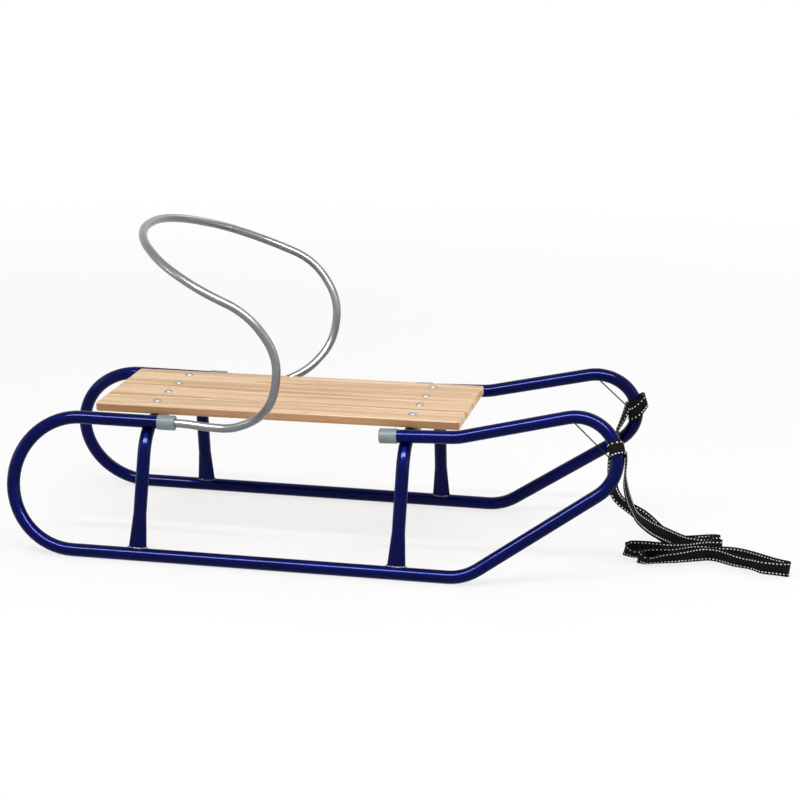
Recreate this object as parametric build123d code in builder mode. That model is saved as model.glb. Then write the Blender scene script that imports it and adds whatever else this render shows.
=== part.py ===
from build123d import *
import os
from math import atan2, cos, degrees, radians, sin, tan

# A steel-tube snow sled with a slatted wooden seat, a plug-in back hoop and a
# webbing tow strap. Millimetres, +X to the front, +Z up, runners on Z = 0.
# The origin is under the middle of the frame. "Left" is the +Y side.

# --- side tubes: each is one open bend, leaning in towards the seat -----------------
tube_radius = 11.0
tube_wall = 1.5
runner_half_track = 231.0  # sled centre to a runner's axis
lean = 14.5  # degrees that a side tube's plane leans inwards
rear_bow_radius = 110.6
rear_top_length = 157.0  # from the rear bow to the open end that takes the hoop
runner_length = 659.5  # from the rear bow to the corner under the riser
riser_angle = 35.4
riser_bend_radius = 84.0
riser_length = 255.7  # from the runner's corner to the nose bend
nose_radius = 68.7
nose_slope = 13.8  # degrees that the tube falls rearwards behind the nose
level_bend_radius = 97.0
front_slope = 2.3  # degrees that the front upper run still falls rearwards
front_lift = 2.7  # at the front arch it runs this much above the rear one
front_top_end = 510.0  # the front open end, measured from the rear bow

# --- arches that carry the seat ------------------------------------------------------
arch_radius = 11.0
arch_bend_radius = 62.0
rear_arch_at = 111.3  # measured forward from the rear bow
front_arch_at = 547.5
rear_arch_drop = 8.0  # cross tube's axis below the side tube's axis
front_arch_drop = 6.5
foot_flare_start = 68.0  # up the leg from the runner's axis
foot_end = 5.0  # where the leg ends inside the runner's outline, before it is coped
foot_half_width = 15.8  # at the leg's end
foot_half_depth = 4.5

# --- seat ----------------------------------------------------------------------------
slat_count = 4
slat_width = 64.5
slat_gap = 5.0
slat_thickness = 16.0
slat_rear_end = 12.5  # measured forward from the rear bow
slat_length = 620.0
slat_edge_radius = 4.0

# --- plastic fittings on the open ends -----------------------------------------------
fitting_wall = 1.5
fitting_grip = 25.0  # how far a fitting covers its tube
fitting_face = 4.5  # thickness of a fitting's end beyond the tube
fitting_edge_radius = 2.0
socket_depth = 62.0  # guide bush inside the tube, behind the fitting's face
end_gap = 0.4

# --- back hoop -----------------------------------------------------------------------
hoop_radius = 7.1
hoop_fit = 0.08  # radial running clearance in the guide bush
# Bend points from the socket's mouth: forward, outward and up. The first run lies in
# the socket's line and the hoop closes with a straight run across the sled.
hoop_bends = [
    (18.0, 0.0, 0.0),
    (52.0, 0.5, -3.2),
    (97.0, 5.5, -3.0),
    (143.5, 21.0, 19.0),
    (180.5, 60.0, 62.5),
    (189.0, 69.0, 138.0),
    (142.0, 80.5, 207.5),
    (62.0, 75.0, 239.0),
    (-14.5, 32.5, 271.0),
    (-69.0, -47.5, 294.0),
    (-91.0, -127.5, 304.5),
]
hoop_bend_share = 0.47  # of the shorter run beside a bend that its arc takes up

# --- tow strap -----------------------------------------------------------------------
strap_width = 25.0
strap_thickness = 2.0
loop_angle = 14.0  # up round the nose from level
stay_radius = 1.1
left_stay_angle = 88.0  # where a stay meets the tube, as loop_angle
right_stay_angle = 94.0
stay_sink = 0.8  # how far a stay's ends go into the tube and the loop
fall_radius = 4.0
strap_bend_share = 0.45  # as hoop_bend_share, for the falls
# The two falls from the nose loops to the folds, as points of the strap's middle line.
right_fall = [
    (519.5, -177.0, 223.0),
    (518.0, -168.0, 197.0),
    (515.5, -155.0, 173.0),
    (516.0, -138.0, 152.0),
    (519.0, -114.0, 129.0),
    (526.0, -80.0, 100.0),
    (530.5, -63.0, 86.5),
    (537.0, -47.0, 75.5),
    (546.0, -31.0, 64.0),
    (557.5, -14.0, 52.5),
    (570.5, 2.0, 42.0),
    (586.0, 19.0, 31.0),
    (602.0, 33.0, 20.0),
]
left_fall = [
    (487.7, 178.5, 212.2),
    (481.5, 172.5, 193.0),
    (472.0, 165.5, 176.0),
    (463.0, 161.0, 158.0),
    (458.0, 157.0, 138.5),
    (456.5, 153.0, 118.0),
    (457.5, 150.0, 101.0),
    (462.0, 147.0, 87.5),
    (469.0, 143.0, 75.0),
    (480.0, 136.0, 62.5),
    (498.0, 124.0, 52.0),
    (516.0, 111.0, 46.0),
    (537.0, 96.0, 36.0),
    (558.0, 76.0, 22.5),
    (574.0, 66.0, 16.0),
    (594.0, 61.0, 13.5),
]
# Outline of the folded strap on the ground, which stands on its edge.
folds_outline = [
    (502.0, 0.0),
    (503.0, 18.0),
    (548.0, 20.0),
    (583.0, 36.0),
    (587.0, 68.0),
    (640.0, 84.0),
    (668.0, 84.0),
    (672.0, 60.0),
    (674.0, 36.0),
    (677.0, 14.0),
    (701.0, 12.0),
    (742.0, -12.0),
    (789.0, -45.0),
    (788.0, -66.0),
    (755.0, -65.0),
    (721.0, -47.0),
    (691.0, -34.0),
    (663.0, -12.0),
    (651.0, -8.0),
    (618.0, -26.0),
    (577.0, -48.0),
    (546.0, -64.0),
    (531.0, -56.0),
    (526.0, -26.0),
    (511.0, -14.0),
]

# --- sizes worked out from the ones above --------------------------------------------
rear_level = 2 * rear_bow_radius  # rear top's axis above the runner's, in the side plane
front_level = rear_level + front_lift
riser_tangent = riser_bend_radius * tan(radians(riser_angle / 2))
nose_turn = 180 - riser_angle + nose_slope
nose_start = (
    runner_length + riser_length * cos(radians(riser_angle)),
    riser_length * sin(radians(riser_angle)),
)
nose_centre = (
    nose_start[0] - nose_radius * sin(radians(riser_angle)),
    nose_start[1] + nose_radius * cos(radians(riser_angle)),
)
nose_end = (
    nose_centre[0] - nose_radius * sin(radians(nose_slope)),
    nose_centre[1] + nose_radius * cos(radians(nose_slope)),
)
level_tangent = level_bend_radius * tan(radians((nose_slope - front_slope) / 2))
front_rate = tan(radians(front_slope))
front_end = (front_top_end, front_level - (front_arch_at - front_top_end) * front_rate)
above_front = nose_end[1] - front_end[1] - (nose_end[0] - front_end[0]) * front_rate
slope_rate = sin(radians(nose_slope)) - cos(radians(nose_slope)) * front_rate
slope_length = above_front / slope_rate - level_tangent
rear_tip = -(rear_bow_radius + tube_radius)
front_tip = nose_centre[0] + nose_radius + tube_radius
bow_x = -(rear_tip + front_tip) / 2  # where the rear bow ends, from the origin
hoop_play = hoop_radius + hoop_fit


def side_plane(side):
    """The leaning plane of a side tube; its origin is on the runner's axis."""
    return Plane(
        origin=(bow_x, side * runner_half_track, tube_radius),
        x_dir=(1, 0, 0),
        z_dir=(0, -cos(radians(lean)), -side * sin(radians(lean))),
    )


def side_point(side, along, level):
    """A point of a side tube's plane as a place on the sled."""
    return side_plane(side).from_local_coords((along, level, 0))


def side_way(side, angle):
    """The forward direction in a side tube's plane, tilted up by an angle."""
    plane = side_plane(side)
    return plane.x_dir * cos(radians(angle)) + plane.y_dir * sin(radians(angle))


def nose_point(side, angle, radius):
    """A point round the nose bend's centre, at an angle up from level."""
    return side_point(
        side,
        nose_centre[0] + radius * cos(radians(angle)),
        nose_centre[1] + radius * sin(radians(angle)),
    )


def arc_path(points, share):
    """Straight runs joined by tangent arcs, each as large as its two runs allow."""
    radii = []
    for before, corner, after in zip(points, points[1:], points[2:]):
        run_in = Vector(*corner) - Vector(*before)
        run_out = Vector(*after) - Vector(*corner)
        turn = radians(run_in.get_angle(run_out))
        radii.append(share * min(run_in.length, run_out.length) / tan(turn / 2))
    return FilletPolyline(*points, radius=radii), radii


# --- side tubes ----------------------------------------------------------------------
def side_tube(side):
    with BuildPart() as tube:
        with BuildLine(side_plane(side)) as path:
            rear_top = Line((rear_top_length, rear_level), (0, rear_level))
            bow = JernArc(rear_top @ 1, rear_top % 1, rear_bow_radius, 180)
            runner = Line(bow @ 1, (runner_length - riser_tangent, 0))
            corner = JernArc(runner @ 1, runner % 1, riser_bend_radius, riser_angle)
            riser = PolarLine(corner @ 1, riser_length - riser_tangent, direction=corner % 1)
            nose = JernArc(riser @ 1, riser % 1, nose_radius, nose_turn)
            slope = PolarLine(nose @ 1, slope_length, direction=nose % 1)
            level = JernArc(slope @ 1, slope % 1, level_bend_radius, front_slope - nose_slope)
            Line(level @ 1, front_end)
        with BuildSketch(Plane(origin=path.line @ 0, z_dir=path.line % 0)):
            Circle(tube_radius)
        sweep(path=path.line)
        # the rear end is bored for the socket's bush, the front one for the cap's plug
        with BuildSketch(Plane(origin=path.line @ 0, z_dir=(-1, 0, 0))):
            Circle(tube_radius - tube_wall)
        extrude(amount=socket_depth + end_gap, mode=Mode.SUBTRACT)
        with BuildSketch(Plane(origin=path.line @ 1, z_dir=-(path.line % 1))):
            Circle(tube_radius - tube_wall)
        extrude(amount=fitting_grip + end_gap, mode=Mode.SUBTRACT)
    return tube


for side, hand in ((1, "left"), (-1, "right")):
    tube = side_tube(side)
    tube.part.label = f"side_tube_{hand}"
    export_step(tube.part, f"parts/side_tube_{hand}.step")


# --- arches --------------------------------------------------------------------------
def track_at(height):
    """Half the distance between the side planes, at a height above the ground."""
    return runner_half_track - (height - tube_radius) * tan(radians(lean))


def level_height(level):
    """Height above the ground of a level in the side plane."""
    return tube_radius + level * cos(radians(lean))


rear_cross_height = level_height(rear_level) - rear_arch_drop
front_cross_height = level_height(front_level) - front_arch_drop


def arch(along, cross_height, side_level, side_slope):
    x = bow_x + along
    with BuildPart() as arch:
        top = track_at(cross_height)
        start_height = level_height(foot_flare_start)
        start = track_at(start_height)
        with BuildLine() as path:
            FilletPolyline(
                (x, -start, start_height),
                (x, -top, cross_height),
                (x, top, cross_height),
                (x, start, start_height),
                radius=arch_bend_radius,
            )
        with BuildSketch(Plane(origin=path.line @ 0, z_dir=path.line % 0)):
            Circle(arch_radius)
        sweep(path=path.line)
        # each leg widens and is pressed flat down to its runner
        for side in (1, -1):
            foot = side_plane(side).origin + Vector(along, 0, 0)
            up = side_plane(side).y_dir
            with BuildSketch(Plane(origin=foot + up * foot_end, x_dir=(1, 0, 0), z_dir=up)):
                Ellipse(foot_half_width, foot_half_depth)
            with BuildSketch(Plane(origin=foot + up * foot_flare_start, x_dir=(1, 0, 0), z_dir=up)):
                Circle(arch_radius)
            loft()
            # saddles where it is welded to the runner and to the side tube's upper run
            for level, slope in ((0, 0), (side_level, side_slope)):
                run = Plane(origin=side_point(side, along, level), z_dir=side_way(side, slope))
                with BuildSketch(run):
                    Circle(tube_radius)
                extrude(amount=2 * foot_half_width, both=True, mode=Mode.SUBTRACT)
    return arch


rear_arch = arch(rear_arch_at, rear_cross_height, rear_level, 0)
rear_arch.part.label = "rear_arch"
export_step(rear_arch.part, "parts/rear_arch.step")

front_arch = arch(front_arch_at, front_cross_height, front_level, front_slope)
front_arch.part.label = "front_arch"
export_step(front_arch.part, "parts/front_arch.step")

# --- seat slats: they lie on the line that touches both cross tubes -----------------------
seat_slope = degrees(atan2(front_cross_height - rear_cross_height, front_arch_at - rear_arch_at))
slat_pitch = slat_width + slat_gap
rear_cross = Vector(bow_x + rear_arch_at, 0, rear_cross_height)
seat_forward = Vector(cos(radians(seat_slope)), 0, sin(radians(seat_slope)))
seat_up = Vector(-sin(radians(seat_slope)), 0, cos(radians(seat_slope)))
slat_middle = (slat_rear_end + slat_length / 2 - rear_arch_at) / cos(radians(seat_slope))
seat_middle = rear_cross + seat_up * arch_radius + seat_forward * slat_middle

for number in range(slat_count):
    across = ((slat_count - 1) / 2 - number) * slat_pitch
    bed = Plane(
        origin=seat_middle + Vector(0, across, 0),
        x_dir=seat_forward,
        z_dir=seat_up,
    )
    with BuildPart() as slat:
        with BuildSketch(bed):
            Rectangle(slat_length, slat_width)
        extrude(amount=slat_thickness)
        fillet(slat.edges(), slat_edge_radius)
    slat.part.label = f"seat_slat_{number + 1}"
    export_step(slat.part, f"parts/seat_slat_{number + 1}.step")

# --- fittings on the open tube ends ---------------------------------------------------------
fitting_radius = tube_radius + fitting_wall

for side, hand in ((1, "left"), (-1, "right")):
    mouth = side_point(side, rear_top_length, rear_level)
    with BuildPart() as socket:
        with BuildSketch(Plane(origin=mouth - Vector(fitting_grip, 0, 0), z_dir=(1, 0, 0))):
            Circle(fitting_radius)
        extrude(amount=fitting_grip + fitting_face)
        fillet(socket.edges().sort_by(Axis.X)[-1], fitting_edge_radius)
        with BuildSketch(Plane(origin=mouth, z_dir=(-1, 0, 0))):
            Circle(tube_radius)
        extrude(amount=fitting_grip, mode=Mode.SUBTRACT)
        with BuildSketch(Plane(origin=mouth, z_dir=(-1, 0, 0))):
            Circle(tube_radius - tube_wall)
        extrude(amount=socket_depth)
        with BuildSketch(Plane(origin=mouth + Vector(fitting_face, 0, 0), z_dir=(-1, 0, 0))):
            Circle(hoop_play)
        extrude(amount=socket_depth + fitting_face, mode=Mode.SUBTRACT)
    socket.part.label = f"hoop_socket_{hand}"
    export_step(socket.part, f"parts/hoop_socket_{hand}.step")

    tube_end = side_point(side, *front_end)
    forward = side_way(side, front_slope)
    with BuildPart() as cap:
        with BuildSketch(Plane(origin=tube_end - forward * fitting_face, z_dir=forward)):
            Circle(fitting_radius)
        extrude(amount=fitting_grip + fitting_face)
        fillet(cap.edges().sort_by(Axis.X)[0], fitting_edge_radius)
        with BuildSketch(Plane(origin=tube_end, z_dir=forward)):
            Circle(tube_radius)
        extrude(amount=fitting_grip, mode=Mode.SUBTRACT)
    cap.part.label = f"end_cap_{hand}"
    export_step(cap.part, f"parts/end_cap_{hand}.step")

# --- back hoop: one bent tube that plugs into both sockets -------------------------------------
mouth = side_point(1, rear_top_length + fitting_face, rear_level)
half_hoop = [(mouth.X - fitting_face - socket_depth, mouth.Y, mouth.Z)]
half_hoop += [(mouth.X + ahead, mouth.Y + out, mouth.Z + up) for ahead, out, up in hoop_bends]
hoop_points = half_hoop + [(x, -y, z) for x, y, z in reversed(half_hoop)]

with BuildPart() as back_hoop:
    with BuildLine() as path:
        hoop_line, hoop_radii = arc_path(hoop_points, hoop_bend_share)
    with BuildSketch(Plane(origin=path.line @ 0, z_dir=path.line % 0)):
        Circle(hoop_radius)
    sweep(path=path.line)
back_hoop.part.label = "back_hoop"
export_step(back_hoop.part, "parts/back_hoop.step")

# --- webbing loops round the noses and the thin cords that hold them up ------------------------
loop_half_span = degrees(strap_width / 2 / nose_radius)

for side, hand, stay_angle in ((1, "left", left_stay_angle), (-1, "right", right_stay_angle)):
    with BuildPart() as loop:
        with BuildLine(side_plane(side)) as path:
            CenterArc(nose_centre, nose_radius, loop_angle - loop_half_span, 2 * loop_half_span)
        with BuildSketch(Plane(origin=path.line @ 0, z_dir=path.line % 0)):
            Circle(tube_radius + strap_thickness)
            Circle(tube_radius, mode=Mode.SUBTRACT)
        sweep(path=path.line)
    loop.part.label = f"tow_loop_{hand}"
    export_step(loop.part, f"parts/tow_loop_{hand}.step")

    top = nose_point(side, stay_angle, nose_radius - tube_radius + stay_sink)
    low_angle = loop_angle - loop_half_span + degrees(2 * stay_radius / nose_radius)
    low = nose_point(side, low_angle, nose_radius - tube_radius - strap_thickness + stay_sink)
    with BuildPart() as stay:
        with BuildSketch(Plane(origin=top, z_dir=low - top)):
            Circle(stay_radius)
        extrude(amount=(low - top).length)
    stay.part.label = f"loop_stay_{hand}"
    export_step(stay.part, f"parts/loop_stay_{hand}.step")

# --- tow strap: two falls and the folds that lie on the ground ----------------------------------
for hand, route in (("left", left_fall), ("right", right_fall)):
    with BuildPart() as fall:
        with BuildLine() as path:
            fall_line, fall_radii = arc_path(route, strap_bend_share)
        with BuildSketch(Plane(origin=path.line @ 0, z_dir=path.line % 0)):
            Circle(fall_radius)
        sweep(path=path.line)
    print(f"tow_strap_{hand}: length {fall_line.length:.0f}, radii", [round(r) for r in fall_radii])
    fall.part.label = f"tow_strap_{hand}"
    export_step(fall.part, f"parts/tow_strap_{hand}.step")

with BuildPart() as folds:
    with BuildSketch():
        with BuildLine():
            Polyline(*folds_outline, close=True)
        make_face()
    extrude(amount=strap_width)
folds.part.label = "tow_strap_folds"
export_step(folds.part, "parts/tow_strap_folds.step")

print("frame length", round(front_tip - rear_tip, 1), "slope length", round(slope_length, 1))
print("cross tube heights", round(rear_cross_height, 1), round(front_cross_height, 1))
print("hoop length", round(hoop_line.length), "radii", [round(r) for r in hoop_radii])
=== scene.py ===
# Dresses the packed snow sled: paint, pine, webbing and the small fastenings.
# Metres, +X to the front, +Y to the sled's left, +Z up.
from math import cos, pi, radians, sin

import bpy
import numpy as np
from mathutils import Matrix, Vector


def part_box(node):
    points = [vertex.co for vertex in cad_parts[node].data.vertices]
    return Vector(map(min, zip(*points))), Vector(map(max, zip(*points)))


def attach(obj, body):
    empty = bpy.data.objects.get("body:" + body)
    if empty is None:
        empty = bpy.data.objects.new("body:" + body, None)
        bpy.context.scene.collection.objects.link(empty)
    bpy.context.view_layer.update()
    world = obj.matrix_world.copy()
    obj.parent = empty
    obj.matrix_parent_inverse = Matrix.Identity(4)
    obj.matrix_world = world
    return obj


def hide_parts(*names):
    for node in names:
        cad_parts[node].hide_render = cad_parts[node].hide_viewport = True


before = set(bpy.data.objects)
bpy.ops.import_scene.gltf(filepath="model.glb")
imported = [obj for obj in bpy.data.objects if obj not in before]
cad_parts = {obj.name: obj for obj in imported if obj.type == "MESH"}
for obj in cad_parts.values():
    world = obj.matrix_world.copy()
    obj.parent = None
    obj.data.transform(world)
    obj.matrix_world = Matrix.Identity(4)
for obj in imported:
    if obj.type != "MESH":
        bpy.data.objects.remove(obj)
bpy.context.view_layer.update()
mm = 0.001
print("frame loaded")

# camera; the strap's free parts were measured against its view
view = {
    "place": (0.8300, -4.0859, 1.2189),
    "turn": (76.803, -1.225, 10.217),  # degrees
    "lens": 112.78,
    "clipEnd": 60,
}
camera = bpy.data.objects.new("camera", bpy.data.cameras.new("camera"))
camera.data.lens = view["lens"]
camera.location = view["place"]
camera.rotation_euler = [radians(angle) for angle in view["turn"]]
camera.data.clip_end = view["clipEnd"]
bpy.context.collection.objects.link(camera)
bpy.context.scene.camera = camera


# turns arrays of points and quads into a smooth-shaded object on a body
def meshPiece(name, points, faces, body, uv=None):
    mesh = bpy.data.meshes.new(name)
    mesh.vertices.add(len(points))
    mesh.vertices.foreach_set("co", np.ascontiguousarray(points, dtype=np.float32).ravel())
    mesh.loops.add(faces.size)
    mesh.loops.foreach_set("vertex_index", np.ascontiguousarray(faces, dtype=np.int32).ravel())
    mesh.polygons.add(len(faces))
    mesh.polygons.foreach_set("loop_start", np.arange(len(faces), dtype=np.int32) * faces.shape[1])
    mesh.update(calc_edges=True)
    if uv is not None:
        cornerUv = np.ascontiguousarray(uv[faces.ravel()], dtype=np.float32)
        mesh.uv_layers.new(name="along").data.foreach_set("uv", cornerUv.ravel())
    mesh.validate()
    mesh.shade_smooth()
    piece = bpy.data.objects.new(name, mesh)
    bpy.context.collection.objects.link(piece)
    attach(piece, body)
    return piece


# quads of a tube's rows x columns grid, its columns running anticlockwise about the way that its
# rows go, so that faces point outwards; the rows close on themselves as a ring, or the first and
# last are closed by quads laid across them from a pair of points to the opposite pair
def tubeFaces(rows, columns, ring=False):
    i = np.arange(rows if ring else rows - 1)[:, None]
    j = np.arange(columns)[None, :]
    nextI, nextJ = (i + 1) % rows, (j + 1) % columns
    corners = [i * columns + j, i * columns + nextJ, nextI * columns + nextJ, nextI * columns + j]
    faces = np.stack(np.broadcast_arrays(*corners), axis=-1).reshape(-1, 4)
    if ring:
        return faces
    pair = np.arange(columns // 2 - 1)
    cap = np.stack([pair, pair + 1, columns - 2 - pair, columns - 1 - pair], axis=1)
    return np.concatenate([faces, cap[:, ::-1], cap + (rows - 1) * columns])


# the quads of one grid, once for each of a number of equal grids laid one after another
def repeatedFaces(faces, copies, pointsEach):
    starts = np.arange(copies) * pointsEach
    return (starts[:, None, None] + faces[None]).reshape(-1, 4)


# narrows the two ends of a tube's grid: its first and last ring are repeated, shrunk to the middle
def narrowedEnds(grid, shrunk=1e-3):
    first = grid[:1].mean(axis=1, keepdims=True)
    last = grid[-1:].mean(axis=1, keepdims=True)
    return np.concatenate(
        [first + (grid[:1] - first) * shrunk, grid, last + (grid[-1:] - last) * shrunk]
    )


def unit(vectors):
    return vectors / np.linalg.norm(vectors, axis=-1, keepdims=True)


# unit tangents of a row of points, by central differences
def tangents(line):
    return unit(np.gradient(line, axis=0))


# the same for a row that closes on itself
def ringTangents(line):
    return unit(np.roll(line, -1, axis=0) - np.roll(line, 1, axis=0))


# tow strap: one webbing strap from the right nose, through its folds, to the left nose
strap = {
    "width": 25 * mm,
    "thickness": 1.5 * mm,
    "step": 2.5 * mm,
    "stitchInset": 3.9 * mm,
    "stitchPitch": 6.2 * mm,
    "stitchLength": 3.7 * mm,
    "stitchWidth": 1.9 * mm,
    "stitchRise": 0.35 * mm,
    "stitchTip": 0.02,  # share of a stitch's width at its two ends
    "rest": 0.6 * mm,  # least room under the strap, for its stitches
}
# each row: place in millimetres, then the way the strap's width points there
rightFall = [
    (516, -175, 220.4, 0.01, 0.97, 0.24),
    (517, -172, 208, 0.05, 0.95, 0.31),
    (516, -166, 193.1, 0.07, 0.9, 0.44),
    (514, -155, 173.4, 0.07, 0.82, 0.56),
    (516, -138, 152.2, 0.09, 0.73, 0.68),
    (519, -114, 129.1, 0.07, 0.68, 0.73),
    (523, -98, 114.8, -0.07, 0.66, 0.75),
    (526, -80, 99.9, -0.07, 0.64, 0.77),
    (530, -63, 86.4, -0.13, 0.62, 0.78),
    (537, -47, 75.5, -0.09, 0.6, 0.8),
    (546, -31, 64.2, 0.03, 0.56, 0.83),
    (557, -14, 52.6, 0.17, 0.46, 0.87),
    (571, 2, 42, 0.22, 0.4, 0.89),
    (586, 19, 30.9, 0.22, 0.39, 0.89),
    (604, 35, 19.2, 0.25, 0.38, 0.89),
]
folds = [
    (622, 45, 15.5, 0.08, 0.1, 0.98),
    (640, 51, 13, 0, 0, 1),
    (655, 52, 12.7, 0, 0, 1),
    (668, 50, 12.2, 0, 0, 1),
    (668, 42, 12.2, 0, 0, 1),
    (651, 41, 13, 0, 0, 1),
    (638, 36, 13, 0, 0, 1),
    (622, 23, 13.2, 0, 0.2, 0.98),
    (606, 8, 14.4, 0, 0.35, 0.94),
    (586, 0, 14.7, 0, 0.4, 0.92),
    (565, 4, 13.9, 0, 0.3, 0.95),
    (548, 7, 13, 0, 0.1, 1),
    (531, 7, 12.8, 0.05, 0, 1),
    (517, 6, 12.6, 0.2, -0.1, 0.98),
    (509, 5, 11.9, 0.34, -0.29, 0.9),
    (507, -5, 11.6, 0.16, -0.46, 0.87),
    (512, -13, 10.6, 0.14, -0.59, 0.8),
    (517, -17, 9.8, 0.1, -0.67, 0.74),
    (523, -21, 9.6, 0.03, -0.7, 0.72),
    (530, -22, 9.8, 0.03, -0.68, 0.73),
    (541, -18, 11.3, 0, -0.6, 0.8),
    (553, -21, 13.5, 0, -0.5, 0.87),
    (568, -21, 14.4, 0, -0.4, 0.92),
    (585, -19, 13.9, 0, -0.3, 0.95),
    (601, -11, 12.9, 0, -0.1, 1),
    (616, 3, 12.8, 0, 0, 1),
    (633, 10, 12.8, 0, 0, 1),
    (651, 12, 12.5, 0, -0.2, 0.98),
    (670, 6, 12.7, 0, 0, 1),
    (685, 8, 12.7, 0, 0, 1),
    (702, 4, 12.7, 0, 0, 1),
    (717, -5, 12.7, 0, 0, 1),
    (734, -18, 12.7, 0, 0, 1),
    (751, -32, 12.7, 0, 0, 1),
    (766, -44, 12.7, 0.05, 0, 1),
    (785, -52, 12.6, 0.1, 0, 1),
    (785, -60, 12.6, 0.09, 0.28, 0.95),
    (771, -60, 13.1, 0, -0.14, 0.99),
    (755, -58, 13.1, -0.05, -0.14, 0.99),
    (736, -55, 13, -0.05, -0.16, 0.99),
    (721, -39, 11.9, -0.03, -0.44, 0.9),
    (706, -33, 12, -0.03, -0.43, 0.9),
    (691, -27, 12.8, -0.04, -0.25, 0.97),
    (675, -13, 13.1, -0.05, -0.09, 0.99),
    (663, -4, 13.1, -0.04, -0.13, 0.99),
    (649, 0, 12.9, -0.04, -0.2, 0.98),
    (634, -7, 13.1, -0.04, -0.11, 0.99),
    (618, -18, 12.5, -0.02, -0.32, 0.95),
    (604, -27, 12, -0.01, -0.43, 0.91),
    (589, -35, 11.5, 0, -0.5, 0.87),
    (576, -40, 11, 0.01, -0.56, 0.83),
    (564, -46, 9.6, 0.02, -0.7, 0.72),
    (554, -51, 8.7, 0.03, -0.76, 0.65),
    (546, -56, 10, 0.02, -0.66, 0.75),
    (536, -46, 11.9, 0.04, -0.44, 0.9),
    (536, -38, 10.9, 0.04, -0.44, 0.9),
    (548, -36, 6, 0, -0.91, 0.41),
    (562, -21, 1.6, 0, -1, 0.03),
    (580, 3, 1.5, -0.2, -0.98, 0),
    (600, 28, 1.5, -0.29, -0.96, 0.05),
    (618, 46, 5.5, -0.1, -0.88, 0.47),
    (633, 57, 11.5, 0, -0.4, 0.92),
    (648, 65, 12.9, 0, 0, 1),
    (662, 68, 12.9, 0, 0, 1),
    (664, 78, 12.9, 0, 0, 1),
    (649, 78, 12.8, 0, 0, 1),
    (632, 69, 12.8, 0, 0, 1),
    (616, 61, 12.8, 0, 0, 1),
]
leftFall = [
    (603, 56, 12.9, 0, 0, 1),
    (589, 60, 14.4, 0.3, 0.22, 0.93),
    (575, 66, 17.6, 0.4, 0.25, 0.88),
    (558, 76, 24.1, 0.55, 0.26, 0.79),
    (547, 87, 30.2, 0.6, 0.14, 0.79),
    (537, 96, 36.3, 0.55, 0.09, 0.83),
    (527, 104, 41.4, 0.42, 0.01, 0.91),
    (516, 111, 45.9, 0.27, -0.13, 0.95),
    (507, 118, 48.9, 0.13, -0.28, 0.95),
    (498, 124, 52.3, 0.11, -0.37, 0.92),
    (490, 130, 55.8, 0.2, -0.42, 0.89),
    (481, 136, 61.9, 0.4, -0.41, 0.82),
    (476, 140, 67.7, 0.57, -0.47, 0.67),
    (471, 144, 75.4, 0.71, -0.52, 0.47),
    (469, 148, 86.1, 0.75, -0.58, 0.31),
    (468, 151, 97.8, 0.74, -0.63, 0.22),
    (467, 154, 111.4, 0.74, -0.65, 0.14),
    (467, 157, 125.2, 0.74, -0.67, 0.08),
    (469, 160, 142.5, 0.68, -0.73, 0.11),
    (470, 164, 159.6, 0.48, -0.86, 0.19),
    (471, 168, 174.9, 0.26, -0.94, 0.22),
    (476, 172, 185.2, 0.32, -0.94, 0.11),
    (481, 174, 197.5, 0.41, -0.91, 0.03),
    (486, 177, 211.5, 0.47, -0.88, 0.02),
    (489, 179, 224.7, 0.48, -0.88, 0.02),
]


# the line of the NURBS spline that a row of points controls, in metres
def splineLine(points):
    curve = bpy.data.curves.new("guide", "CURVE")
    curve.dimensions = "3D"
    curve.resolution_u = 24
    spline = curve.splines.new("NURBS")
    spline.points.add(len(points) - 1)
    spline.points.foreach_set("co", np.column_stack([points, np.ones(len(points))]).ravel())
    spline.order_u = 3
    spline.use_endpoint_u = True
    guide = bpy.data.objects.new("guide", curve)
    bpy.context.collection.objects.link(guide)
    mesh = bpy.data.meshes.new_from_object(guide)
    line = np.empty(3 * len(mesh.vertices))
    mesh.vertices.foreach_get("co", line)
    bpy.data.objects.remove(guide)
    bpy.data.curves.remove(curve)
    bpy.data.meshes.remove(mesh)
    return line.reshape(-1, 3)


# distance along a row of points at each of them
def runLengths(line):
    return np.concatenate([[0], np.cumsum(np.linalg.norm(np.diff(line, axis=0), axis=1))])


# the same rows read at other distances along
def readAt(distances, runs, rows):
    return np.stack([np.interp(distances, runs, rows[:, k]) for k in range(rows.shape[1])], axis=1)


# a strap's middle line with its three directions; its face is square to along and across
def ribbonFrom(line, along, across, at):
    face = np.cross(along, across)
    return {"line": line, "along": along, "across": across, "face": face, "at": at}


# the ribbon that a table of keys gives, read at even steps and lifted where its lower edge
# would dip into the ground
def keyedRibbon(keys, step):
    table = np.array(keys, dtype=float)
    places = table[:, :3] * mm
    middle = splineLine(places)
    edge = splineLine(places + unit(table[:, 3:]) * strap["width"] / 2)
    runs = runLengths(middle)
    at = np.linspace(0, runs[-1], int(runs[-1] / step) + 1)
    line = readAt(at, runs, middle)
    along = tangents(line)
    across = readAt(at, runs, edge) - line
    across = unit(across - along * np.sum(across * along, axis=1, keepdims=True))
    lowest = line[:, 2] - np.abs(across[:, 2]) * strap["width"] / 2 - strap["thickness"] / 2
    lift = np.clip(strap["rest"] - lowest, 0, None)
    return ribbonFrom(line + np.outer(lift, [0, 0, 1]), along, across, at)


# flat closed profile: straight faces with half-round edges, as (across, through) pairs
def webProfile(width, thickness, edgePoints=5):
    turn = np.linspace(-pi / 2, pi / 2, edgePoints)
    half = (width - thickness) / 2
    right = np.column_stack([half + np.cos(turn) * thickness / 2, np.sin(turn) * thickness / 2])
    return np.concatenate([right, -right])


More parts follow.
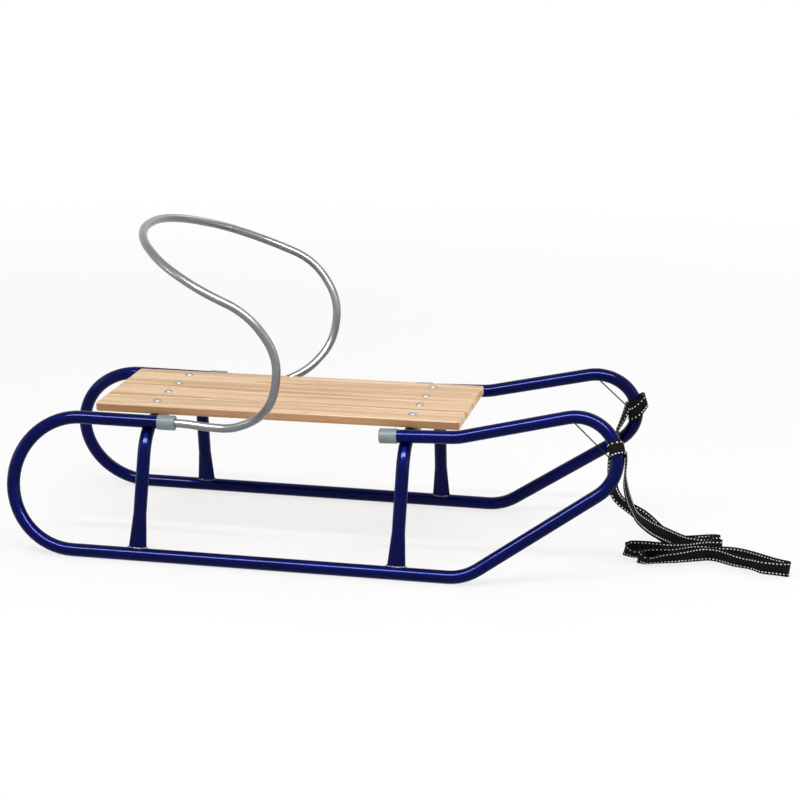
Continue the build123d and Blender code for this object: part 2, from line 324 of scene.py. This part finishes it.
# the profile carried along a ribbon: point = line + across * p + face * q
def ribbonPiece(name, ribbon, body, ring=False):
    profile = webProfile(strap["width"], strap["thickness"])
    grid = (
        ribbon["line"][:, None]
        + ribbon["across"][:, None] * profile[None, :, :1]
        + ribbon["face"][:, None] * profile[None, :, 1:]
    )
    at = ribbon["at"]
    if not ring:
        grid = narrowedEnds(grid)
        at = np.concatenate([at[:1], at, at[-1:]])
    uv = np.stack(np.meshgrid(at, profile[:, 0], indexing="ij"), axis=-1)
    faces = tubeFaces(*uv.shape[:2], ring)
    return meshPiece(name, grid.reshape(-1, 3), faces, body, uv.reshape(-1, 2))


# stitches: small closed blunt ellipsoids in two rows on each face, a pitch apart
def stitchPiece(name, ribbon, body):
    length = ribbon["at"][-1]
    count = max(int(length / strap["stitchPitch"]), 1)
    at = (np.arange(count) + 0.5) * length / count
    line, along, across, face = (
        readAt(at, ribbon["at"], ribbon[key]) for key in ("line", "along", "across", "face")
    )
    rings, around = 5, 6
    ringTurn = np.arange(around) * 2 * pi / around
    ringAlong = np.linspace(-1, 1, rings)
    ringSize = np.sqrt(np.clip(1 - ringAlong**4, strap["stitchTip"] ** 2, 1))
    local = np.stack(
        [
            np.broadcast_to(ringAlong[:, None] * strap["stitchLength"] / 2, (rings, around)),
            ringSize[:, None] * np.cos(ringTurn)[None] * strap["stitchWidth"] / 2,
            ringSize[:, None] * np.sin(ringTurn)[None] * strap["stitchRise"],
        ],
        axis=-1,
    ).reshape(-1, 3)
    offset = strap["width"] / 2 - strap["stitchInset"]
    blocks = []
    for edge in (1, -1):
        for side in (1, -1):
            centre = line + across * edge * offset + face * side * strap["thickness"] / 2
            blocks.append(
                centre[:, None]
                + along[:, None] * local[None, :, :1]
                + across[:, None] * local[None, :, 1:2]
                + face[:, None] * local[None, :, 2:]
            )
    points = np.concatenate(blocks).reshape(-1, 3)
    faces = repeatedFaces(tubeFaces(rings, around), len(points) // len(local), len(local))
    return meshPiece(name, points, faces, body)


strapRibbon = keyedRibbon(rightFall + folds + leftFall, strap["step"])
towStrap = ribbonPiece("towStrap", strapRibbon, "sled")
towStitches = stitchPiece("towStrapStitches", strapRibbon, "sled")
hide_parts("tow_strap_right", "tow_strap_left", "tow_strap_folds")
print(f"tow strap {strapRibbon['at'][-1]:.3f} m")

# webbing loops round the noses
sides = {
    "lean": 14.5,  # degrees that each side frame leans in
    "runner": 231.0 * mm,  # a runner's axis from the middle
    "tube": 11 * mm,
    "rearBow": -393.1 * mm,
}
noses = {
    "radius": 68.7 * mm,
    "ahead": 435.0 * mm,
    "lift": 204.1 * mm,  # nose bend's centre above the runner's axis, in the side plane
}
forward = np.array([1.0, 0, 0])


# a side frame's plane: a point on its runner's axis, and its up and outward directions
def sideFrame(side, along):
    lean = radians(sides["lean"])
    up = np.array([0, -side * sin(lean), cos(lean)])
    out = np.array([0, side * cos(lean), sin(lean)])
    return np.array([along, side * sides["runner"], sides["tube"]]), up, out


# band round the tube: its middle is a ring that slides along the tube by tilt, most at its high
# side, and stands off the tube by slack on its forward side
def loopRibbon(loop, steps=72):
    runner, up, out = sideFrame(loop["side"], noses["ahead"])
    centre = runner + up * noses["lift"]
    turn = np.arange(steps) * 2 * pi / steps
    slide = loop["tilt"] * np.cos(turn - radians(loop["highSide"]))
    angle = radians(loop["angle"]) + slide / noses["radius"]
    radial = forward * np.cos(angle)[:, None] + up * np.sin(angle)[:, None]
    size = sides["tube"] + loop["clear"] + loop["slack"] * np.clip(np.cos(turn), 0, 1) ** 2
    line = (
        centre
        + radial * (noses["radius"] + size * np.cos(turn))[:, None]
        + out * (size * np.sin(turn))[:, None]
    )
    along = ringTangents(line)
    outward = radial * np.cos(turn)[:, None] + out * np.sin(turn)[:, None]
    across = unit(np.cross(outward, along))
    runs = runLengths(np.concatenate([line, line[:1]]))
    return ribbonFrom(line, along, across, runs[:-1])


# side is +1 for the left; angle is up round the nose and highSide round the tube, in degrees
loops = {
    "towLoop_right": {
        "side": -1,
        "angle": 16.5,
        "tilt": 3.3 * mm,
        "highSide": 90,
        "clear": 1.1 * mm,
        "slack": 0.6 * mm,
        "stitched": True,
    },
    "towLoop_left": {
        "side": 1,
        "angle": 14,
        "tilt": 1 * mm,
        "highSide": 0,
        "clear": 0.9 * mm,
        "slack": 0.5 * mm,
        "stitched": False,
    },
    "towHitch_left": {
        "side": 1,
        "angle": 7,
        "tilt": 11 * mm,
        "highSide": 0,
        "clear": 3 * mm,
        "slack": 5 * mm,
        "stitched": True,
    },
}
for name, loop in loops.items():
    ribbon = loopRibbon(loop)
    ribbonPiece(name, ribbon, "sled", ring=True)
    if loop["stitched"]:
        stitchPiece(name + "Stitches", ribbon, "sled")
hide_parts("tow_loop_right")
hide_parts("tow_loop_left")
print("loops round the noses")


# wraps a socket so that arithmetic on it adds Math nodes
class Value:
    def __init__(self, finish, socket):
        self.finish = finish
        self.socket = socket

    def __add__(self, other):
        return self.finish.maths("ADD", self, other)

    def __sub__(self, other):
        return self.finish.maths("SUBTRACT", self, other)

    def __rsub__(self, other):
        return self.finish.maths("SUBTRACT", other, self)

    def __mul__(self, other):
        return self.finish.maths("MULTIPLY", self, other)

    def __truediv__(self, other):
        return self.finish.maths("DIVIDE", self, other)

    def __pow__(self, other):
        return self.finish.maths("POWER", self, other)

    __radd__ = __add__
    __rmul__ = __mul__


# one material with its Principled shader
class Finish:
    def __init__(self, name, **settings):
        self.material = bpy.data.materials.new(name)
        self.material.use_nodes = True
        self.tree = self.material.node_tree
        self.shader = self.tree.nodes["Principled BSDF"]
        for socket, value in settings.items():
            self.shader.inputs[socket.replace("_", " ")].default_value = value

    # adds a node of a kind with its settings and feeds its sockets; gives back one output
    def node(self, kind, inputs=None, output=0, **settings):
        node = self.tree.nodes.new("ShaderNode" + kind)
        for key, value in settings.items():
            setattr(node, key, value)
        for key, value in (inputs or {}).items():
            self.feed(node.inputs[key], value)
        return Value(self, node.outputs[output])

    def feed(self, socket, value):
        if isinstance(value, Value):
            self.tree.links.new(value.socket, socket)
        else:
            socket.default_value = value

    def maths(self, operation, *values):
        return self.node("Math", dict(enumerate(values)), operation=operation)

    def place(self):
        return self.node("TexCoord", output="Object")

    # noise on the object's own coordinates, stretched by one scale or one for each axis
    def noise(self, scale, detail, roughness=0.5, shift=(0, 0, 0)):
        scale = scale if isinstance(scale, tuple) else (scale, scale, scale)
        where = {"Vector": self.place(), "Scale": scale, "Location": shift}
        inputs = {"Scale": 1.0, "Detail": detail, "Roughness": roughness}
        return self.node("TexNoise", {"Vector": self.node("Mapping", where), **inputs})

    # the three parts of a vector
    def axes(self, vector):
        parts = self.node("SeparateXYZ", {0: vector}).socket.node
        return [Value(self, socket) for socket in parts.outputs]

    # plain white light in place of the surface, by an amount
    def shine(self, amount):
        surface = {"Fac": amount, 1: Value(self, self.shader.outputs[0]), 2: self.node("Emission")}
        blend = self.node("MixShader", surface)
        self.feed(self.tree.nodes["Material Output"].inputs["Surface"], blend)

    # value 0 to 1 as it rises from low to high
    def rise(self, value, low, high):
        limits = {"Value": value, "From Min": low, "From Max": high}
        return self.node("MapRange", limits, interpolation_type="SMOOTHSTEP")

    # first colour at 0, second at 1
    def mix(self, amount, first, second):
        inputs = {"Factor": amount, 6: first, 7: second}
        return self.node("Mix", inputs, output=2, data_type="RGBA")

    def bump(self, height, strength, depth):
        normal = self.node("Bump", {"Height": height, "Strength": strength, "Distance": depth})
        self.feed(self.shader.inputs["Normal"], normal)

    def colour(self, value):
        self.feed(self.shader.inputs["Base Color"], value)

    def rough(self, value):
        self.feed(self.shader.inputs["Roughness"], value)


def rgb(red, green, blue):
    return (red, green, blue, 1.0)


# gives a CAD node or a new piece one material
def paintPiece(piece, finish):
    piece = bpy.data.objects[piece] if isinstance(piece, str) else piece
    piece.data.materials.clear()
    piece.data.materials.append(finish.material)


# blue metallic paint: near-black blue base, fine flake, thin clear coat
paint = {
    "deep": rgb(0.0002, 0.001, 0.02),
    "bright": rgb(0.0004, 0.0035, 0.08),
    "rough": (0.3, 0.12),  # least, and how much the clouds add
    "flakeScale": 2400,
    "cloudScale": 9,
    "flakeShare": 0.7,
    "contrast": (0.3, 0.7),
    "peel": {"strength": 0.06, "depth": 0.4 * mm},
    "peelScale": 160,
}
bluePaint = Finish(
    "bluePaint",
    Metallic=0.4,
    Specular_IOR_Level=0.0,
    Coat_Weight=0.3,
    Coat_Roughness=0.09,
    Coat_IOR=1.3,
)
flake = bluePaint.noise(paint["flakeScale"], detail=1.0)
cloud = bluePaint.noise(paint["cloudScale"], detail=3.0)
speckle = flake * paint["flakeShare"] + cloud * (1 - paint["flakeShare"])
speckle = bluePaint.rise(speckle, *paint["contrast"])
bluePaint.colour(bluePaint.mix(speckle, paint["deep"], paint["bright"]))
bluePaint.rough(paint["rough"][0] + cloud * paint["rough"][1])
bluePaint.bump(bluePaint.noise(paint["peelScale"], detail=2.0), **paint["peel"])

# silver paint on the hoop: satin, a little patchy
silver = {
    "dark": rgb(0.135, 0.14, 0.137),
    "light": rgb(0.205, 0.21, 0.205),
    "rough": (0.24, 0.16),
    "patchScale": 14,
    "gritScale": 1800,
    "patchShare": 0.6,
    "contrast": (0.3, 0.7),
    "peel": {"strength": 0.08, "depth": 0.1 * mm},
    "peelScale": 900,
}
silverPaint = Finish("silverPaint", Metallic=0.9, Coat_Weight=0.3, Coat_Roughness=0.08)
patch = silverPaint.noise(silver["patchScale"], detail=4.0)
grit = silverPaint.noise(silver["gritScale"], detail=1.0)
grain = patch * silver["patchShare"] + grit * (1 - silver["patchShare"])
grain = silverPaint.rise(grain, *silver["contrast"])
silverPaint.colour(silverPaint.mix(grain, silver["dark"], silver["light"]))
silverPaint.rough(silver["rough"][0] + patch * silver["rough"][1])
silverPaint.bump(silverPaint.noise(silver["peelScale"], detail=2.0), **silver["peel"])

# grey moulded plastic on the sockets and caps
plastic = {
    "dark": rgb(0.15, 0.185, 0.205),
    "light": rgb(0.21, 0.25, 0.27),
    "rough": (0.42, 0.2),
    "mottleScale": 60,
    "skin": {"strength": 0.15, "depth": 0.15 * mm},
    "skinScale": 1500,
}
greyPlastic = Finish("greyPlastic", Specular_IOR_Level=0.3)
mottle = greyPlastic.noise(plastic["mottleScale"], detail=4.0)
greyPlastic.colour(greyPlastic.mix(mottle, plastic["dark"], plastic["light"]))
greyPlastic.rough(plastic["rough"][0] + mottle * plastic["rough"][1])
greyPlastic.bump(greyPlastic.noise(plastic["skinScale"], detail=3.0), **plastic["skin"])

# zinc plating on the bolt heads
plating = {
    "dark": rgb(0.10, 0.11, 0.12),
    "light": rgb(0.42, 0.42, 0.41),
    "rough": (0.22, 0.25),
    "bloomScale": 220,
}
zinc = Finish("zinc", Metallic=1.0)
bloom = zinc.noise(plating["bloomScale"], detail=4.0)
zinc.colour(zinc.mix(bloom, plating["dark"], plating["light"]))
zinc.rough(plating["rough"][0] + bloom * plating["rough"][1])

# pine: growth rings round a far-off heart, fine streaks along the board, painted shade on its side
# faces
pine = {
    "pale": rgb(0.80, 0.58, 0.34),
    "late": rgb(0.50, 0.26, 0.10),
    "warm": rgb(0.62, 0.34, 0.13),
    "knot": rgb(0.30, 0.15, 0.07),
    # painted shade: the dark colour laid over each slat's side faces and long edges, so that they
    # and the gaps between slats read darker
    "edge": rgb(0.40, 0.18, 0.06),
    "ring": 4.2 * mm,
    "lateStart": (0.35, 0.9),  # shares of a ring over which its late wood comes and goes
    "lateEnd": (0.93, 1.0),
    "sway": (24 * mm, 0.6),  # how far the heart wanders sideways, and the share of it upwards
    "wanderScale": (2.2, 7, 7),
    "streakScale": (1.6, 70, 70),
    "fibreScale": (18, 900, 900),
    "bandScale": (1.1, 24, 24),
    "streaks": (0.42, 0.64),
    "bands": (0.35, 0.7),
    "shares": (0.5, 0.85, 0.3),  # of late wood, streaks and fibre in the dark tone
    "knotSize": (3 * mm, 8.5 * mm),
    "knotSquash": (1.2, 1.4),  # along the board and through it
    "knotRagged": 6 * mm,
    # painted shade on a slat's side faces: where it begins and where it is full, then how much of
    # it is laid
    "sideShadeFrom": (29.6 * mm, 32.0 * mm),  # from the board's middle
    "sideShadeShare": 0.85,
    "rough": (0.36, 0.2),
    "relief": {"strength": 0.12, "depth": 0.25 * mm},
    "fibreRelief": 0.5,
}
# heart's place from the slat's middle in millimetres, shift along the noise, warmth, and a knot's
# place in metres from the frame's middle along and from the slat's middle across and up
slatCuts = {
    "seat_slat_1": {"heart": (22, -46), "shift": 3.1, "warmth": 0.15, "knot": None},
    "seat_slat_2": {
        "heart": (-34, -60),
        "shift": 7.7,
        "warmth": 0.25,
        "knot": (0.237, 0.020, -0.002),
    },
    "seat_slat_3": {
        "heart": (14, -38),
        "shift": 1.9,
        "warmth": 0.35,
        "knot": (0.237, -0.012, 0.001),
    },
    "seat_slat_4": {"heart": (-30, -52), "shift": 5.4, "warmth": 0.6, "knot": None},
}


# wood whose tone follows the distance from the heart, a ring for each ring width, with painted
# shade on its side faces
def pineFinish(name, cut):
    low, high = (Vector(corner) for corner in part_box(name))
    middle = (low + high) / 2
    wood = Finish("pine_" + name, Coat_Weight=0.06, Coat_Roughness=0.3)
    shift = (cut["shift"], cut["shift"] * 0.7, cut["shift"] * 1.3)
    wander = wood.noise(pine["wanderScale"], detail=2.0, shift=shift)
    streak = wood.noise(pine["streakScale"], detail=4.0, roughness=0.6, shift=shift)
    fibre = wood.noise(pine["fibreScale"], detail=2.0, shift=shift)
    band = wood.noise(pine["bandScale"], detail=2.0, shift=shift)
    x, y, z = wood.axes(wood.place())
    heartY, heartZ = middle.y + cut["heart"][0] * mm, middle.z + cut["heart"][1] * mm
    sway = (wander - 0.5) * pine["sway"][0]
    reach = ((y - heartY + sway) ** 2 + (z - heartZ + sway * pine["sway"][1]) ** 2) ** 0.5
    ring = wood.maths("FRACT", reach / pine["ring"])
    late = wood.rise(ring, *pine["lateStart"]) * (1 - wood.rise(ring, *pine["lateEnd"]))
    lateShare, streakShare, fibreShare = pine["shares"]
    dark = late * lateShare + wood.rise(streak, *pine["streaks"]) * streakShare
    dark = dark + (fibre - 0.5) * fibreShare
    grain = wood.mix(wood.rise(dark, 0.0, 1.0), pine["pale"], pine["late"])
    warmth = wood.rise(band, *pine["bands"]) * cut["warmth"]
    grain = wood.mix(warmth, grain, pine["warm"])
    if cut["knot"]:
        knotX, knotY, knotZ = cut["knot"]
        squashX, squashZ = pine["knotSquash"]
        sideways, upwards = y - middle.y - knotY, (z - middle.z - knotZ) * squashZ
        away = (((x - knotX) * squashX) ** 2 + sideways**2 + upwards**2) ** 0.5
        away = away + (streak - 0.5) * pine["knotRagged"]
        grain = wood.mix(1 - wood.rise(away, *pine["knotSize"]), grain, pine["knot"])
    # painted shade: the colour darkens towards each side face of the slat, standing in for the
    # shade on the sides and in the gaps between slats
    side = wood.maths("ABSOLUTE", y - middle.y)
    edge = wood.rise(side, *pine["sideShadeFrom"]) * pine["sideShadeShare"]
    wood.colour(wood.mix(edge, grain, pine["edge"]))
    wood.rough(pine["rough"][0] + streak * pine["rough"][1])
    wood.bump(dark + fibre * pine["fibreRelief"], **pine["relief"])
    return wood


for name, cut in slatCuts.items():
    paintPiece(name, pineFinish(name, cut))

# webbing: ribs across the strap, thread by thread
webbing = {
    "dark": rgb(0.0015, 0.0015, 0.0015),
    "light": rgb(0.008, 0.0075, 0.007),
    "ribPitch": 1.6 * mm,
    "threadPitch": 1.1 * mm,
    "rough": (0.75, 0.2),
    "relief": {"strength": 0.35, "depth": 0.3 * mm},
}
blackWeb = Finish("blackWebbing", Specular_IOR_Level=0.06)
alongWeb, acrossWeb, _ = blackWeb.axes(blackWeb.node("UVMap", uv_map="along"))
rib = blackWeb.maths("SINE", alongWeb * (2 * pi / webbing["ribPitch"]))
thread = blackWeb.maths("SINE", acrossWeb * (2 * pi / webbing["threadPitch"]))
weave = rib * thread * 0.5 + 0.5
blackWeb.colour(blackWeb.mix(weave, webbing["dark"], webbing["light"]))
blackWeb.rough(webbing["rough"][0] + weave * webbing["rough"][1])
blackWeb.bump(weave, **webbing["relief"])

# black braid of the stays
braid = {
    "dark": rgb(0.001, 0.001, 0.001),
    "light": rgb(0.006, 0.006, 0.006),
    "scale": (700, 700, 1500),
    "relief": {"strength": 0.4, "depth": 0.3 * mm},
}
blackCord = Finish("blackCord", Roughness=0.8, Specular_IOR_Level=0.1)
lay = blackCord.noise(braid["scale"], detail=1.0)
blackCord.colour(blackCord.mix(lay, braid["dark"], braid["light"]))
blackCord.bump(lay, **braid["relief"])

# pale thread of the stitches
sewing = {"dark": rgb(0.84, 0.84, 0.82), "light": rgb(0.97, 0.97, 0.95), "scale": 900}
paleThread = Finish("paleThread", Roughness=0.5, Specular_IOR_Level=0.6)
twist = paleThread.noise(sewing["scale"], detail=1.0)
paleThread.colour(paleThread.mix(twist, sewing["dark"], sewing["light"]))

# finishes go on the pieces
for name in ("side_tube_left", "side_tube_right", "rear_arch", "front_arch"):
    paintPiece(name, bluePaint)
for name in ("hoop_socket_left", "hoop_socket_right", "end_cap_left", "end_cap_right"):
    paintPiece(name, greyPlastic)
for name in ("loop_stay_left", "loop_stay_right"):
    paintPiece(name, blackCord)
paintPiece("back_hoop", silverPaint)
for name in ("towStrap", *loops):
    paintPiece(name, blackWeb)
for name in ("towStrapStitches", "towLoop_rightStitches", "towHitch_leftStitches"):
    paintPiece(name, paleThread)
print("finishes on")

# bolts through the slats and cross tubes: domed heads on the slats
bolts = {
    "headRadius": 7.2 * mm,
    "headHeight": 3.0 * mm,
    "rim": 0.7 * mm,
    "rings": 7,  # from the rim to the crown
    "crown": 0.02,  # radians short of the axis where the last ring lies
    "slat": 16 * mm,  # thickness of the wood under a head
    "along": (111.3 * mm, 547.5 * mm),  # rear and front cross tube, from the rear bow
}


# a turned shape: a profile of (radius, height) pairs carried round a unit axis
def turned(profile, centre, up, around=32):
    profile = np.array(profile)
    turn = np.arange(around) * 2 * pi / around
    first = unit(np.cross(up, [0, 1.0, 0]))
    second = np.cross(up, first)
    ring = np.cos(turn)[:, None] * first + np.sin(turn)[:, None] * second
    return centre + profile[:, :1, None] * ring[None] + profile[:, 1:, None] * up


seatRear, seatFront = (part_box(arch)[1][2] for arch in ("rear_arch", "front_arch"))
seatRise = (seatFront - seatRear) / (bolts["along"][1] - bolts["along"][0])
seatUp = np.array([-seatRise, 0, 1.0]) / np.hypot(seatRise, 1)
domeHeight = bolts["headHeight"] - bolts["rim"]
dome = [(bolts["headRadius"], 0.0)] + [
    (bolts["headRadius"] * sin(angle), bolts["rim"] + domeHeight * cos(angle))
    for angle in np.linspace(pi / 2, bolts["crown"], bolts["rings"])
]
heads = []
for along, crossTop in zip(bolts["along"], (seatRear, seatFront)):
    for name in slatCuts:
        low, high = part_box(name)
        foot = np.array([sides["rearBow"] + along, (low[1] + high[1]) / 2, crossTop])
        heads.append(turned(dome, foot + seatUp * bolts["slat"], seatUp))
headGrid = np.stack(heads)
headCount, rings, around = headGrid.shape[:3]
headFaces = repeatedFaces(tubeFaces(rings, around), headCount, rings * around)
boltHeads = meshPiece("boltHeads", headGrid.reshape(-1, 3), headFaces, "sled")
paintPiece(boltHeads, zinc)
print("bolts in")

# weld beads where the arches' pressed feet stand on the runners
welds = {
    "halfWidth": 15.8 * mm,
    "halfDepth": 4.5 * mm,
    "bead": 1.9 * mm,
    "lumps": ((7, 0.22), (13, 0.2), (22, 0.15)),  # how many round a foot, and how high
    "steps": 96,
    "sides": 10,
    "dark": rgb(0.0005, 0.0008, 0.004),
    "light": rgb(0.006, 0.009, 0.04),
    "slagScale": 700,
    "relief": {"strength": 0.6, "depth": 0.4 * mm},
}
weldPaint = Finish(
    "weldPaint", Roughness=0.3, Specular_IOR_Level=0.5, Coat_Weight=0.8, Coat_Roughness=0.1
)
slag = weldPaint.noise(welds["slagScale"], detail=3.0)
weldPaint.colour(weldPaint.mix(slag, welds["dark"], welds["light"]))
weldPaint.bump(slag, **welds["relief"])


# lumpy ring round a foot: an ellipse laid on the runner's top, its thickness a sum of sines
def beadRing(side, along, seed):
    middle, up, out = sideFrame(side, sides["rearBow"] + along)
    turn = np.arange(welds["steps"]) * 2 * pi / welds["steps"]
    across = welds["halfDepth"] * np.sin(turn)
    radial = out * across[:, None] + up * np.sqrt(sides["tube"] ** 2 - across**2)[:, None]
    line = middle + radial + forward * (welds["halfWidth"] * np.cos(turn))[:, None]
    radial = unit(radial)
    sideways = np.cross(ringTangents(line), radial)
    phases = np.random.default_rng(seed).uniform(0, 2 * pi, len(welds["lumps"]))
    lumps = 1 + sum(
        height * np.sin(count * turn + phase)
        for (count, height), phase in zip(welds["lumps"], phases)
    )
    about = np.arange(welds["sides"]) * 2 * pi / welds["sides"]
    ring = radial[:, None] * np.cos(about)[:, None] + sideways[:, None] * np.sin(about)[:, None]
    return line[:, None] + ring * (welds["bead"] * lumps)[:, None, None]


feet = [(side, along) for side in (1, -1) for along in bolts["along"]]
beadGrid = np.stack([beadRing(side, along, seed) for seed, (side, along) in enumerate(feet)])
beadFaces = tubeFaces(welds["steps"], welds["sides"], ring=True)
beadFaces = repeatedFaces(beadFaces, len(feet), welds["steps"] * welds["sides"])
weldBeads = meshPiece("weldBeads", beadGrid.reshape(-1, 3), beadFaces, "sled")
paintPiece(weldBeads, weldPaint)
print("weld beads in")

# floor, light and background: white wherever the camera or a mirror looks
studio = {
    "floor": rgb(0.92, 0.92, 0.92),
    "reach": 30.0,
    "sink": 0.2 * mm,  # keeps the floor just under the runners
    "glow": (0.7, 1.0),  # share of plain white on the floor that the eye sees, near and far
    "far": (1.3, 4.0),
    "sky": 0.62,
    "aim": (0, 0, 0.2),
    "lamps": {
        "overhead": {"place": (0.1, -1.7, 2.7), "size": (3.2, 0.14), "power": 42},
        "leftStrip": {"place": (-3.2, -0.9, 1.1), "size": (0.12, 1.6), "power": 18},
        "rightStrip": {"place": (3.4, -0.5, 1.1), "size": (0.12, 1.6), "power": 18},
        "back": {"place": (1.2, 2.6, 2.2), "size": (1.8, 0.8), "power": 14},
        "gloss": {"place": (0.1, -1.9, 2.5), "size": (3.6, 0.5), "power": 380, "mirror": True},
    },
}
reach = studio["reach"]
corners = [(-reach, -reach, 0), (reach, -reach, 0), (reach, reach, 0), (-reach, reach, 0)]
floorMesh = bpy.data.meshes.new("floor")
floorMesh.from_pydata(corners, [], [(0, 1, 2, 3)])
floor = bpy.data.objects.new("floor", floorMesh)
floor.location.z = -studio["sink"]
bpy.context.collection.objects.link(floor)


# 1 for rays that the eye follows: straight, by a mirror or through glass
def seenRays(tree):
    rays = tree.nodes.new("ShaderNodeLightPath")
    total = rays.outputs["Is Camera Ray"]
    for kind in ("Is Glossy Ray", "Is Transmission Ray"):
        add = tree.nodes.new("ShaderNodeMath")
        add.operation = "ADD"
        add.use_clamp = True
        tree.links.new(total, add.inputs[0])
        tree.links.new(rays.outputs[kind], add.inputs[1])
        total = add.outputs[0]
    return total


floorFinish = Finish("floorPaper", Roughness=0.9, Specular_IOR_Level=0.0)
floorFinish.colour(studio["floor"])
east, north, _ = floorFinish.axes(floorFinish.place())
far = floorFinish.rise((east**2 + north**2) ** 0.5, *studio["far"])
nearGlow, farGlow = studio["glow"]
share = nearGlow + far * (farGlow - nearGlow)
floorFinish.shine(share * Value(floorFinish, seenRays(floorFinish.tree)))
paintPiece(floor, floorFinish)

world = bpy.data.worlds.new("studio")
world.use_nodes = True
bpy.context.scene.world = world
sky = world.node_tree
lit, seen = sky.nodes["Background"], sky.nodes.new("ShaderNodeBackground")
pick = sky.nodes.new("ShaderNodeMixShader")
lit.inputs["Color"].default_value = seen.inputs["Color"].default_value = rgb(1, 1, 1)
lit.inputs["Strength"].default_value = studio["sky"]
sky.links.new(seenRays(sky), pick.inputs["Fac"])
sky.links.new(lit.outputs[0], pick.inputs[1])
sky.links.new(seen.outputs[0], pick.inputs[2])
sky.links.new(pick.outputs[0], sky.nodes["World Output"].inputs["Surface"])

for name, lamp in studio["lamps"].items():
    light = bpy.data.objects.new(name, bpy.data.lights.new(name, "AREA"))
    light.data.shape = "RECTANGLE"
    light.data.size, light.data.size_y = lamp["size"]
    light.data.energy = lamp["power"]
    light.visible_diffuse = not lamp.get("mirror", False)  # a mirror lamp shows only in gloss
    light.location = lamp["place"]
    toAim = Vector(studio["aim"]) - light.location
    light.rotation_euler = toAim.to_track_quat("-Z", "Y").to_euler()
    bpy.context.collection.objects.link(light)
bpy.context.scene.view_settings.view_transform = "Standard"
print("studio lit")
